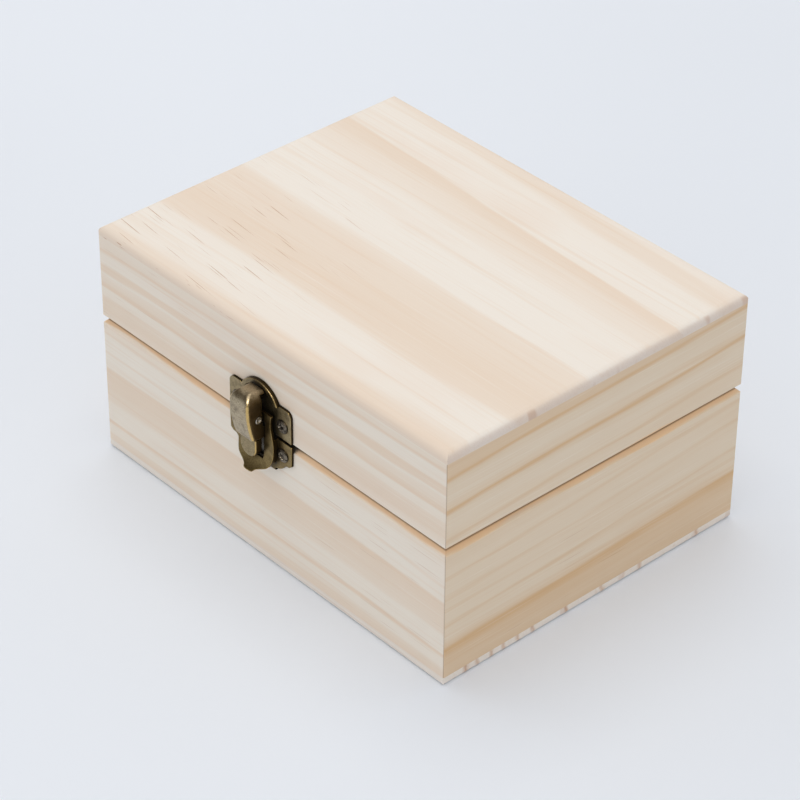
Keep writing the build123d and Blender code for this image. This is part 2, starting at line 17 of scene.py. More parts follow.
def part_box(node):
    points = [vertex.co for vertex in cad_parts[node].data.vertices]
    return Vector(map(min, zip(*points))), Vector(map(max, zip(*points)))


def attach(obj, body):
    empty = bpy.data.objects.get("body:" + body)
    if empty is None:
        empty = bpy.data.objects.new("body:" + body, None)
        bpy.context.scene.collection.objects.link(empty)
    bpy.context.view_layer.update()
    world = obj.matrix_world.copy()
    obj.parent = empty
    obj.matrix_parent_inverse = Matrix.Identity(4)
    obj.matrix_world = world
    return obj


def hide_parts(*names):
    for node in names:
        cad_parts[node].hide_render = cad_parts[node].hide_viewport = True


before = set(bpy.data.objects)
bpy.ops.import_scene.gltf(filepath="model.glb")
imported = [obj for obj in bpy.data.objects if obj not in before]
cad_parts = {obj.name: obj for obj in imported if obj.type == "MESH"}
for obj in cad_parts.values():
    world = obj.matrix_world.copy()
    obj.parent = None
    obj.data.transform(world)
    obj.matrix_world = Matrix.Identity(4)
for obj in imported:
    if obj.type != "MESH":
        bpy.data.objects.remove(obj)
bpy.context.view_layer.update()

MM = 0.001
SHARP_ANGLE = math.radians(38.0)
LOG = logging.getLogger("pine_box")
Colour = tuple[float, float, float, float]

# Places on the CAD model that the wood's finish needs, in millimetres
HALF_LENGTH = 77.0
HALF_WIDTH = 59.5
PANEL_TOP = 81.5
WALL_FOOT = 3.0
WALL_TOP = 78.5
SEAM = 48.15
LATCH_MIDDLE = -1.25

# Growth rings by board: place across the face in millimetres, and darkness of the late wood
TOP_RINGS = (
    (-59.5, 0.5), (-56.0, 0.38), (-52.0, 0.1), (-44.0, 0.03), (-38.0, 0.1), (-35.0, 0.42),
    (-26.0, 0.5), (-16.0, 0.4), (-9.0, 0.36), (-6.0, 0.3), (-4.0, 0.04), (8.0, 0.02), (17.0, 0.06),
    (22.0, 0.22), (28.0, 0.3), (31.5, 0.46), (34.2, 0.5), (35.6, 0.1), (42.0, 0.03), (49.0, 0.08),
    (53.0, 0.34), (56.0, 0.36), (59.5, 0.12))
# The bottom panel shows its end grain: each mark rises over 1.3 mm and falls over 1 mm
BOTTOM_MARKS = (-50.5, -46.0, -40.5, -35.5, -30.0, -24.0, -10.5, 4.5, 20.0, 44.5)
BOTTOM_RINGS = (
    (-59.5, 0.1),
    *(stop for y in BOTTOM_MARKS for stop in ((y - 1.3, 0.08), (y, 0.95), (y + 1.0, 0.08))),
    (59.5, 0.1))
LID_FRONT_RINGS = (
    (48.3, 0.1), (50.5, 0.34), (53.5, 0.5), (57.0, 0.42), (58.5, 0.2), (60.6, 0.16), (61.6, 0.62),
    (63.5, 0.4), (65.6, 0.3), (66.6, 0.14), (67.8, 0.5), (69.6, 0.56), (70.8, 0.12), (74.0, 0.1),
    (75.4, 0.6), (76.4, 0.3), (78.5, 0.24))
BASE_FRONT_RINGS = (
    (0.0, 0.3), (2.0, 0.5), (5.5, 0.4), (7.0, 0.12), (9.6, 0.12), (11.2, 0.62), (12.2, 0.1),
    (17.5, 0.1), (20.0, 0.36), (25.0, 0.46), (30.2, 0.54), (31.6, 0.1), (36.0, 0.06), (37.0, 0.3),
    (38.0, 0.04), (43.0, 0.08), (45.0, 0.3), (48.3, 0.22))
LID_RIGHT_RINGS = (
    (48.3, 0.2), (53.0, 0.22), (54.4, 0.5), (56.0, 0.2), (60.0, 0.14), (62.6, 0.24), (64.2, 0.85),
    (65.6, 0.3), (69.0, 0.12), (71.6, 0.2), (73.6, 0.24), (75.2, 0.85), (76.4, 0.5), (78.5, 0.5))
BASE_RIGHT_RINGS = (
    (3.0, 0.6), (8.0, 0.5), (12.0, 0.62), (15.4, 0.95), (17.2, 0.4), (20.0, 0.16), (23.2, 0.2),
    (24.2, 0.45), (25.4, 0.16), (33.0, 0.2), (34.2, 0.36), (35.6, 0.16), (39.8, 0.2), (41.0, 0.42),
    (42.4, 0.18), (48.3, 0.3))
DIVIDER_RINGS = (
    (3.0, 0.2), (8.0, 0.5), (10.0, 0.15), (17.0, 0.6), (19.0, 0.2), (27.0, 0.1), (33.0, 0.55), (39.0, 0.2))

# Darkness of the late wood in even steps across each board that the photo hides
PLAIN_SHADES = (0.25, 0.6, 0.15, 0.2, 0.7, 0.3, 0.12, 0.5, 0.2, 0.65, 0.2)


def tint(red: int, green: int, blue: int) -> Colour:
    """Turn a display colour into the linear colour that a shader takes.

    Args:
        red: Red from 0 to 255.
        green: Green from 0 to 255.
        blue: Blue from 0 to 255.

    Returns:
        The linear colour with full alpha.
    """
    shares = np.array([red, green, blue]) / 255.0
    linear = np.where(shares <= 0.04045, shares / 12.92, ((shares + 0.055) / 1.055) ** 2.4)
    return (float(linear[0]), float(linear[1]), float(linear[2]), 1.0)


class Signal:
    """One output of a node graph, with arithmetic that adds Math nodes."""

    def __init__(self, graph: "Graph", socket: bpy.types.NodeSocket) -> None:
        """Keep the graph and the socket."""
        self.graph = graph
        self.socket = socket

    def _math(self, operation: str, *values: Any) -> "Signal":
        """Add one Math node on the given values."""
        return self.graph.add("ShaderNodeMath", {"operation": operation}, dict(enumerate(values)))

    def __add__(self, other: Any) -> "Signal":
        """Sum."""
        return self._math("ADD", self, other)

    def __sub__(self, other: Any) -> "Signal":
        """Difference."""
        return self._math("SUBTRACT", self, other)

    def __rsub__(self, other: Any) -> "Signal":
        """Difference from a number."""
        return self._math("SUBTRACT", other, self)

    def __mul__(self, other: Any) -> "Signal":
        """Product."""
        return self._math("MULTIPLY", self, other)

    def __truediv__(self, other: Any) -> "Signal":
        """Quotient."""
        return self._math("DIVIDE", self, other)

    def __neg__(self) -> "Signal":
        """Opposite."""
        return self._math("MULTIPLY", self, -1.0)

    def __abs__(self) -> "Signal":
        """Size without its sign."""
        return self._math("ABSOLUTE", self)

    __radd__ = __add__
    __rmul__ = __mul__

    def most(self, other: Any) -> "Signal":
        """Larger of two values."""
        return self._math("MAXIMUM", self, other)

    def ease(self, low: float, high: float) -> "Signal":
        """Smooth step from 0 at low to 1 at high, or falling where high is the smaller.

        Args:
            low: Value at which the step is 0.
            high: Value at which the step is 1.

        Returns:
            The eased share.
        """
        ends = {"From Min": min(low, high), "From Max": max(low, high)}
        step = self.graph.add(
            "ShaderNodeMapRange", {"interpolation_type": "SMOOTHSTEP"}, {"Value": self, **ends})
        return step if high > low else 1 - step


class Graph:
    """Node tree of one material or world."""

    def __init__(self, tree: bpy.types.NodeTree) -> None:
        """Empty the tree and keep it."""
        self.tree = tree
        tree.nodes.clear()

    def add(self, kind: str, settings: Mapping[str, Any] | None = None,
            sockets: Mapping[Any, Any] | None = None, output: int | str = 0) -> Signal:
        """Add one node, set it up and feed it.

        Args:
            kind: The node's type.
            settings: Properties to set first. A ramp's "stops" are places with a grey value.
            sockets: Values or signals by socket name or number.
            output: The output to hand on.

        Returns:
            The chosen output.
        """
        node = self.tree.nodes.new(kind)
        for name, value in (settings or {}).items():
            if name == "stops":
                self._fill_ramp(node.color_ramp, value)
            else:
                setattr(node, name, value)
        for name, value in (sockets or {}).items():
            if isinstance(value, Signal):
                self.tree.links.new(value.socket, node.inputs[name])
            else:
                node.inputs[name].default_value = value
        return Signal(self, node.outputs[output]) if node.outputs else Signal(self, None)

    @staticmethod
    def _fill_ramp(ramp: bpy.types.ColorRamp, stops: Sequence[tuple[float, float]]) -> None:
        """Give a ramp smooth stops of grey."""
        ramp.interpolation = "EASE"
        while len(ramp.elements) < len(stops):
            ramp.elements.new(1.0)
        for element, (place, grey) in zip(ramp.elements, stops):
            element.position = place
            element.color = (grey, grey, grey, 1.0)

    def blend(self, share: Any, first: Any, second: Any) -> Signal:
        """Colour between two colours.

        Args:
            share: 0 for the first colour, 1 for the second.
            first: Colour or signal.
            second: Colour or signal.

        Returns:
            The blended colour.
        """
        return self.add("ShaderNodeMix", {"data_type": "RGBA"}, {0: share, 6: first, 7: second}, 2)

    def point(self, x: Any, y: Any, z: Any) -> Signal:
        """Vector from three values."""
        return self.add("ShaderNodeCombineXYZ", None, {0: x, 1: y, 2: z})

    def noise(self, place: Signal, detail: float = 2.0, roughness: float = 0.5) -> Signal:
        """Noise about one half, one blotch per unit of the place."""
        return self.add("ShaderNodeTexNoise", {"noise_dimensions": "3D"},
                        {"Vector": place, "Scale": 1.0, "Detail": detail, "Roughness": roughness})

    def parts(self, vector: Signal) -> "Place":
        """The three parts of a vector."""
        outputs = self.add("ShaderNodeSeparateXYZ", None, {0: vector}).socket.node.outputs
        return Signal(self, outputs[0]), Signal(self, outputs[1]), Signal(self, outputs[2])

    def object_axes(self) -> "Place":
        """The three object coordinates, in metres."""
        return self.parts(self.add("ShaderNodeTexCoord", None, None, "Object"))

    def object_normal(self) -> "Place":
        """The three parts of the surface's direction in object axes."""
        return self.parts(self.add("ShaderNodeTexCoord", None, None, "Normal"))

    def openness(self, reach: float) -> Signal:
        """Share of the space within a reach, in millimetres, that is open above the surface."""
        return self.add("ShaderNodeAmbientOcclusion", {"samples": 8}, {"Distance": reach * MM}, "AO")

    def blotches(self, place: "Place", counts: Sequence[float], detail: float = 2.0,
                 roughness: float = 0.5) -> Signal:
        """Noise with a count of blotches per metre along each of three axes."""
        stretched = self.point(*(axis * count for axis, count in zip(place, counts)))
        return self.noise(stretched, detail, roughness)

    def surface(self, shader: Signal) -> None:
        """Send a shader to the output."""
        self.add("ShaderNodeOutputMaterial", None, {"Surface": shader})


Place = tuple[Signal, Signal, Signal]


class Grain(Enum):
    """Which object axes lie along the grain, across the board's face and through its thickness."""

    PANEL = (0, 1, 2)
    FRONT = (0, 2, 1)
    SIDE = (1, 2, 0)


@dataclass(frozen=True)
class PineFinish:
    """Sanded, unfinished pine of one board.

    The figure is a row of growth rings over the board's face: each stop is a place across the
    face in millimetres and how dark the late wood is there. The rings fan and drift along the
    grain, and fine fibres, resin ducts and pink clouds lie over them. Lengths are in millimetres,
    and streaks are counts per metre, along the grain and across it.
    """

    name: str
    grain: Grain
    face: float
    rings: tuple[tuple[float, float], ...]
    slope: float = 0.0
    fan: float = 0.0
    tilt: float = 0.35
    drift: float = 2.2
    raggedness: float = 0.8
    seed: float = 0.0
    early: Colour = tint(242, 235, 225)
    late: Colour = tint(229, 199, 168)
    pale: Colour = tint(250, 245, 237)
    blush: Colour = tint(236, 215, 196)
    blush_share: float = 0.3
    duct: Colour = tint(184, 134, 92)
    duct_share: float = 0.35
    duct_centre: tuple[float, float] = (0.0, 0.0)
    duct_reach: float = 40.0
    duct_slope: float = 0.0
    end_tint: Colour = tint(216, 200, 188)
    end_mark: Colour = tint(186, 140, 108)
    end_pore: Colour = tint(196, 168, 148)
    end_share: float = 0.6
    mitred: bool = False
    mitre_tint: Colour = tint(150, 118, 92)
    seam_at: float = 0.0
    # Painted warm bounce light on the chamfers along the seam
    seam_bounce_light_tint: Colour = tint(238, 198, 150)
    # Painted shade in the gap between lid and base
    gap_shade_tint: Colour = tint(104, 66, 42)
    # Painted shade on the wood beside and behind the latch
    shaded_by_latch: bool = False
    latch_shade_tint: Colour = tint(34, 27, 19)
    latch_shade_reach: float = 6.0
    slow_streaks: tuple[float, float] = (8.0, 20.0)
    ragged_streaks: tuple[float, float] = (34.0, 500.0)
    cloud_streaks: tuple[float, float] = (14.0, 60.0)
    fibre_streaks: tuple[float, float] = (30.0, 1700.0)
    strand_streaks: tuple[float, float] = (11.0, 420.0)
    duct_streaks: tuple[float, float] = (50.0, 2400.0)
    bump_height: float = 0.08

    def _streaks(self, graph: Graph, place: Place, counts: tuple[float, float], shift: float = 0.0,
                 detail: float = 2.0) -> Signal:
        """Noise drawn out along the grain.

        Args:
            graph: The graph to add to.
            place: Signals along the grain, across the face and through the thickness.
            counts: Streaks per metre, along the grain and across it.
            shift: How far into the noise this one starts, past the board's own seed.
            detail: Octaves of the noise.

        Returns:
            The noise, about one half.
        """
        along, across, deep = place
        lengthways, crossways = counts
        start = along * lengthways + (self.seed + shift)
        return graph.noise(graph.point(start, across * crossways, deep * crossways), detail)

    def _ring_shade(self, graph: Graph, place: Place) -> Signal:
        """Darkness of the late wood at a point.

        The place across the face is sheared along the grain, more towards one edge where the
        rings fan out, bent by slow noise and tilted through the thickness. It is then looked up
        in the ramp of rings.
        """
        along, across, deep = place
        low, high = self.rings[0][0], self.rings[-1][0]
        slow = self._streaks(graph, place, self.slow_streaks)
        ragged = self._streaks(graph, place, self.ragged_streaks)
        bent = across + along * (across * self.fan + self.slope) + deep * self.tilt
        bent = bent + (slow - 0.5) * (self.drift * 2.0 * MM) + (ragged - 0.5) * (self.raggedness * 2.0 * MM)
        share = (bent - low * MM) / ((high - low) * MM)
        stops = [((ring - low) / (high - low), dark) for ring, dark in self.rings]
        return graph.add("ShaderNodeValToRGB", {"stops": stops}, {"Fac": share})

    def _duct_mask(self, graph: Graph, place: Place) -> Signal:
        """Short leaning dashes where the peaks of a stretched noise lie near the ducts' centre."""
        along, across, deep = place
        centre = graph.point(*(c * MM for c in self.duct_centre), 0.0)
        away = graph.add("ShaderNodeVectorMath", {"operation": "DISTANCE"},
                         {0: graph.point(along, across, 0.0), 1: centre}, "Value")
        gathered = away.ease(self.duct_reach * 1.2 * MM, self.duct_reach * 0.5 * MM)
        leaning = (along, across + along * self.duct_slope, deep)
        return self._streaks(graph, leaning, self.duct_streaks, detail=0.0).ease(0.73, 0.81) * gathered

    def _ends(self, graph: Graph, colour: Signal, place: Place) -> Signal:
        """Colour with end grain where the surface faces along the grain."""
        along, across, deep = place
        facing = abs(graph.object_normal()[self.grain.value[0]]).ease(0.45, 0.9)
        pores = graph.blotches(place, (200.0, 2400.0, 2400.0))
        bands = graph.noise(graph.point(self.seed, across * 130.0, deep * 40.0), 1.0)
        marked = graph.blend(bands.ease(0.6, 0.66) * 0.75, self.end_tint, self.end_mark)
        marked = graph.blend(pores.ease(0.45, 0.75) * 0.3, marked, self.end_pore)
        return graph.blend(facing * self.end_share, colour, marked)

    def _seam(self, graph: Graph, colour: Signal, place: Place, height: Signal, strand: Signal) -> Signal:
        """Colour with a ragged warm band of painted bounce light and a thin line of painted shade where the
        lid meets the base.

        Args:
            graph: The graph to add to.
            colour: Colour of the wood.
            place: Signals along the grain, across the face and through the thickness.
            height: Height on the box.
            strand: Streaks that make the edge of the painted bounce light ragged.

        Returns:
            The colour with its painted light and shade.
        """
        along, _, deep = place
        away = abs(height - self.seam_at * MM)
        patchy = graph.noise(graph.point(along * 26.0 + self.seed, 0.0, 0.0), 3.0)
        edge = away + (strand - 0.5) * (2.0 * MM) - (patchy - 0.5) * (4.0 * MM)
        outer = (abs(deep) + (strand - 0.5) * (0.6 * MM)).ease(1.9 * MM, 1.2 * MM) * 0.65 + 0.1
        # Painted warm bounce light on the chamfers by the seam
        colour = graph.blend(edge.ease(1.8 * MM, 1.0 * MM) * outer, colour, self.seam_bounce_light_tint)
        # Painted shade line in the gap between lid and base
        gap = away.ease(0.55 * MM, 0.2 * MM) * abs(deep).ease(1.7 * MM, 1.3 * MM)
        return graph.blend(gap * 0.6, colour, self.gap_shade_tint)

    def _paint_latch_shade(self, graph: Graph, colour: Signal, place: Place) -> Signal:
        """Colour with painted shade in the narrow space beside and behind the latch."""
        along, _, deep = place
        beside = abs(along - LATCH_MIDDLE * MM).ease(20.0 * MM, 14.0 * MM)
        behind = beside * abs(deep).ease(3.5 * MM, 2.0 * MM)
        # Painted shade: darker where little of the space above is open
        closed = graph.openness(self.latch_shade_reach).ease(0.66, 0.4)
        return graph.blend(closed * behind * 0.95, colour, self.latch_shade_tint)

    def material(self) -> bpy.types.Material:
        """Build the material.

        Returns:
            The finished material.
        """
        made = bpy.data.materials.new(self.name)
        made.use_nodes = True
        graph = Graph(made.node_tree)
        axes = graph.object_axes()
        along, across, deep = (axes[number] for number in self.grain.value)
        place = (along, across, deep - self.face * MM)
        dark = self._ring_shade(graph, place)
        cloud = self._streaks(graph, place, self.cloud_streaks, 3.1)
        fibre = self._streaks(graph, place, self.fibre_streaks, 7.7, 3.0)
        strand = self._streaks(graph, place, self.strand_streaks, 11.3)
        duct = self._duct_mask(graph, place)

        colour = graph.blend(dark, self.early, self.late)
        colour = graph.blend(cloud.ease(0.5, 0.72) * self.blush_share, colour, self.blush)
        colour = graph.blend(strand.ease(0.52, 0.74) * 0.22, colour, self.late)
        colour = graph.blend(fibre.ease(0.52, 0.8) * 0.2, colour, self.late)
        colour = graph.blend(fibre.ease(0.46, 0.22) * 0.2, colour, self.pale)
        colour = graph.blend(duct * self.duct_share, colour, self.duct)
        colour = self._ends(graph, colour, place)
        if self.mitred:
            inset = (HALF_LENGTH * MM - abs(axes[0])) - (HALF_WIDTH * MM - abs(axes[1]))
            colour = graph.blend(abs(inset).ease(0.25 * MM, 0.08 * MM) * 0.5, colour, self.mitre_tint)
        if self.seam_at:
            colour = self._seam(graph, colour, place, axes[2], strand)
        if self.shaded_by_latch:
            colour = self._paint_latch_shade(graph, colour, place)

        height = fibre * 0.6 + strand * 0.3 - duct * 0.8 - dark * 0.2
        bump = graph.add("ShaderNodeBump", None, {
            "Strength": 0.35, "Distance": self.bump_height * MM, "Height": height})
        rough = fibre * 0.12 + dark * -0.06 + 0.6
        graph.surface(graph.add("ShaderNodeBsdfPrincipled", None, {
            "Base Color": colour, "Roughness": rough, "Normal": bump, "Specular IOR Level": 0.3}))
        return made


@dataclass(frozen=True)
class AgedBrass:
    """Brass plating aged to a greyish olive, worn bright on its edges, and black in its corners with grime
    and painted shade.

    Lengths are in millimetres and blotches are counts per metre. Faces turned to the front take the
    body colour and the rest the dark one, as a painted reflection; the crown's share says how far an
    upward face also takes the body colour, as a painted highlight. Fillets that point sideways and out
    or up take the worn colour as a painted highlight.
    """

    name: str = "aged_brass"
    dark: Colour = tint(70, 54, 27)
    body: Colour = tint(180, 166, 140)
    # Colour of worn edges and of painted highlights
    wear_and_highlight_tint: Colour = tint(214, 182, 116)
    # Grime and painted shade in the corners
    grime_and_shade: Colour = tint(20, 16, 11)
    blotch: float = 520.0
    speck: float = 3500.0
    edge_radius: float = 0.3
    corner_reach: float = 6.0
    # Share of painted highlight on upward faces
    crown_light_share: float = 0.0
    bump_height: float = 0.03

    def _edge_mask(self, graph: Graph, rounded: Signal) -> Signal:
        """Where an edge is worn, or given a painted highlight.

        An edge is worn where the direction of a softly rounded edge leaves the face's own direction.
        Where that direction points both sideways and out or up, a painted highlight is added.
        """
        plain = graph.add("ShaderNodeNewGeometry", None, None, "Normal")
        likeness = graph.add("ShaderNodeVectorMath", {"operation": "DOT_PRODUCT"},
                             {0: rounded, 1: plain}, "Value")
        side, ahead, above = graph.parts(graph.add("ShaderNodeVectorTransform", {
            "vector_type": "NORMAL", "convert_from": "WORLD", "convert_to": "OBJECT"}, {0: rounded}))
        # Painted highlight on fillets that point both sideways and out or up
        fillet_highlight = (abs(side) * abs(ahead).most(abs(above) * 0.55)).ease(0.22, 0.48)
        return fillet_highlight.most((1 - likeness).ease(0.02, 0.16))

    def material(self) -> bpy.types.Material:
        """Build the material.

        Corners take grime and painted shade where little of the space above a point is open, and edges
        are worn and fillets take a painted highlight where it is open.

        Returns:
            The finished material.
        """
        made = bpy.data.materials.new(self.name)
        made.use_nodes = True
        graph = Graph(made.node_tree)
        place = graph.object_axes()
        blotches = graph.blotches(place, [self.blotch] * 3, 3.0, 0.55)
        specks = graph.blotches(place, [self.speck] * 3)
        _, front, crown = graph.object_normal()
        # Painted reflection: faces turned to the front are lighter and faces turned away darker; upward
        # faces get a share of it as a painted highlight
        facing_light = abs(front).most(crown * self.crown_light_share).ease(0.2, 0.95)
        rounded = graph.add("ShaderNodeBevel", {"samples": 6}, {"Radius": self.edge_radius * MM})
        room = graph.openness(self.corner_reach)
        edge = self._edge_mask(graph, rounded) * room.ease(0.3, 0.6)
        # Real wear on edges, and a painted highlight on the fillets
        wear_and_highlight = (edge + (blotches - 0.5) * 0.8).ease(0.25, 0.95)
        corner = room.ease(0.86, 0.36)

        # Blotchy patina times the painted light of faces turned to the front
        clean = (blotches.ease(0.25, 0.6) * 0.5 + 0.5) * (facing_light * 0.9 + 0.1)
        colour = graph.blend(clean, self.dark, self.body)
        colour = graph.blend(specks.ease(0.46, 0.7) * 0.5, colour, self.dark)
        colour = graph.blend(wear_and_highlight * 0.85, colour, self.wear_and_highlight_tint)
        # Painted shade where part of the space above is closed
        colour = graph.blend(room.ease(0.95, 0.6) * 0.6, colour, self.dark)
        # Grime and painted shade in corners where little space is open
        colour = graph.blend(corner * 0.94, colour, self.grime_and_shade)
        rough = blotches * 0.12 + specks * 0.08 + corner * 0.25 - wear_and_highlight * 0.08 + 0.24
        bump = graph.add("ShaderNodeBump", None, {
            "Strength": 0.2, "Distance": self.bump_height * MM, "Height": blotches * 0.6 + specks * 0.3,
            "Normal": rounded})
        graph.surface(graph.add("ShaderNodeBsdfPrincipled", None, {
            "Base Color": colour, "Metallic": 1 - corner * 0.25, "Roughness": rough, "Normal": bump,
            "Specular IOR Level": 0.1}))
        return made


@dataclass(frozen=True)
class Steel:
    """Plain steel of the screws, pins and spring, dulled in patches, with grime and painted shade in its
    hollows.

    The reach is in millimetres. Patches and the fine marks of turning, which run round an axis
    along X, are counts per metre.
    """

    name: str
    clean: Colour
    dulled: Colour
    roughness: float = 0.3
    corner_reach: float = 0.9
    patch: float = 900.0
    turning: tuple[float, float, float] = (200.0, 6000.0, 6000.0)
    grime_and_shade: Colour = tint(14, 12, 10)
    bump_height: float = 0.02

    def material(self) -> bpy.types.Material:
        """Build the material.

        Returns:
            The finished material.
        """
        made = bpy.data.materials.new(self.name)
        made.use_nodes = True
        graph = Graph(made.node_tree)
        place = graph.object_axes()
        patches = graph.blotches(place, [self.patch] * 3, 3.0, 0.6)
        turned = graph.blotches(place, self.turning, 1.0)
        corner = graph.openness(self.corner_reach).ease(0.86, 0.45)
        colour = graph.blend(patches.ease(0.4, 0.7), self.clean, self.dulled)
        # Grime and painted shade in hollows where little space is open
        colour = graph.blend(corner * 0.95, colour, self.grime_and_shade)
        bump = graph.add("ShaderNodeBump", None, {
            "Strength": 0.2, "Distance": self.bump_height * MM, "Height": turned})
        graph.surface(graph.add("ShaderNodeBsdfPrincipled", None, {
            "Base Color": colour, "Metallic": 1 - corner * 0.4,
            "Roughness": patches * 0.2 + corner * 0.2 + self.roughness, "Normal": bump}))
        return made


@dataclass
class Skin:
    """Closed surface as points in millimetres, quads and triangles."""

    points: np.ndarray
    quads: np.ndarray
    tris: np.ndarray

    @classmethod
    def between_poles(cls, rings: np.ndarray, first: np.ndarray, last: np.ndarray) -> "Skin":
        """Join rings of points into a closed surface with a pole at each end.

        Point (row, column) is joined to its next row and next column, the columns wrap round, and
        each end ring is joined to its pole by a fan.

        Args:
            rings: Points by row and column, turning anticlockwise as seen from the first pole.
            first: Pole before the first row.
            last: Pole after the last row.

        Returns:
            The closed skin.
        """
        rows, columns = rings.shape[:2]
        here = np.arange(columns)
        after = np.roll(here, -1)
        foot = np.arange(rows - 1)[:, None] * columns
        quads = np.stack([foot + here, foot + columns + here, foot + columns + after, foot + after], axis=-1)
        start = rows * columns
        low = (rows - 1) * columns
        tris = np.concatenate([
            np.stack([np.full(columns, start), here, after], axis=-1),
            np.stack([np.full(columns, start + 1), low + after, low + here], axis=-1)])
        points = np.concatenate([rings.reshape(-1, 3), first[None], last[None]])
        return cls(points, quads.reshape(-1, 4), tris)

    def placed(self, origin: Sequence[float], right: Sequence[float], up: Sequence[float],
               out: Sequence[float]) -> "Skin":
        """The skin with its own axes laid along three directions from an origin."""
        turned = self.points @ np.array([right, up, out], dtype=float) + np.array(origin, dtype=float)
        return Skin(turned, self.quads, self.tris)

    @staticmethod
    def joined(skins: Sequence["Skin"]) -> "Skin":
        """Several skins as one."""
        starts = np.cumsum([0] + [len(skin.points) for skin in skins[:-1]])
        return Skin(
            np.concatenate([skin.points for skin in skins]),
            np.concatenate([skin.quads + start for skin, start in zip(skins, starts)]),
            np.concatenate([skin.tris + start for skin, start in zip(skins, starts)]))

    def piece(self, name: str, material: bpy.types.Material) -> bpy.types.Object:
        """Put the skin into a new object, in metres.

        Args:
            name: Name of the piece.
            material: Its finish.

        Returns:
            The linked object.
        """
        mesh = bpy.data.meshes.new(name)
        mesh.from_pydata((self.points * MM).tolist(), [], self.quads.tolist() + self.tris.tolist())
        mesh.polygons.foreach_set("use_smooth", np.ones(len(mesh.polygons), dtype=bool))
        mesh.set_sharp_from_angle(angle=SHARP_ANGLE)
        mesh.materials.append(material)
        made = bpy.data.objects.new(name, mesh)
        bpy.context.scene.collection.objects.link(made)
        LOG.info("made %s with %d faces", name, len(mesh.polygons))
        return made


@dataclass
class WoodScrew:
    """Cross-headed wood screw with its head's seat at height zero, in millimetres."""

    head_radius: float
    head_height: float
    rim_height: float
    sink_depth: float
    shank_radius: float
    length: float
    pitch: float = 0.75
    thread_depth_share: float = 0.24
    tip_length: float = 1.3
    arm_length_share: float = 0.62
    arm_width_share: float = 0.24
    recess_depth: float = 0.7
    arm_side_ease: float = 0.45
    arm_end_ease: float = 0.5
    ring_depth: float = 0.08
    ring_place_share: float = 0.8
    ring_width_share: float = 0.06
    columns: int = 96
    head_rows: int = 40
    shank_rows: int = 72

    def skin(self, turn: float) -> Skin:
        """Compute the whole screw.

        The head's height falls from the middle with the fourth power of the radius, less a fine
        turned groove, a bell curve of the radius. From it a cross is sunk: along each arm the
        depth eases to nothing at the arm's side and at its end.
        The shank's radius loses a triangle wave of the height over the pitch less the turn, so the
        thread climbs once round per pitch, and the tip narrows in a straight line.

        Args:
            turn: Angle of the cross, in radians.

        Returns:
            The closed skin.
        """
        angle = np.linspace(0.0, 2.0 * math.pi, self.columns, endpoint=False)[None, :]
        radius = np.linspace(0.0, self.head_radius, self.head_rows + 1)[1:, None]
        dome = self.head_height - (self.head_height - self.rim_height) * (radius / self.head_radius) ** 4
        one = np.abs(radius * np.cos(angle - turn))
        other = np.abs(radius * np.sin(angle - turn))
        ring = np.exp(-((radius / self.head_radius - self.ring_place_share) / self.ring_width_share) ** 2)
        cross = np.maximum(self._arm(one, other), self._arm(other, one))
        head = dome - self.recess_depth * cross - self.ring_depth * ring

        down = np.linspace(-self.sink_depth, -self.length, self.shank_rows)[:, None]
        phase = (down / self.pitch - angle / (2.0 * math.pi)) % 1.0
        wave = np.abs(phase - 0.5) * 2.0
        inside = np.clip((-self.sink_depth - down) / self.pitch, 0.0, 1.0)
        narrow = np.clip((down + self.length) / self.tip_length, 0.02, 1.0)
        shank = self.shank_radius * (1.0 - self.thread_depth_share * wave * inside) * narrow

        reach = np.concatenate([radius + 0.0 * angle, np.full((1, self.columns), self.head_radius), shank])
        height = np.concatenate([head, np.zeros((1, self.columns)), down + 0.0 * angle])
        turned = np.broadcast_to(angle, reach.shape)
        rings = np.stack([reach * np.cos(turned), reach * np.sin(turned), height], axis=-1)
        centre = np.array([0.0, 0.0, self.head_height - self.recess_depth])
        return Skin.between_poles(rings, centre, np.array([0.0, 0.0, -self.length]))

    def _arm(self, along: np.ndarray, aside: np.ndarray) -> np.ndarray:
        """Share of the recess's depth inside one arm, eased at its side and its end."""
        width = self.head_radius * self.arm_width_share
        length = self.head_radius * self.arm_length_share
        side = np.clip((width - aside) / (width * self.arm_side_ease), 0.0, 1.0)
        end = np.clip((length - along) / (length * self.arm_end_ease), 0.0, 1.0)
        share = side * end
        return share * share * (3.0 - 2.0 * share)


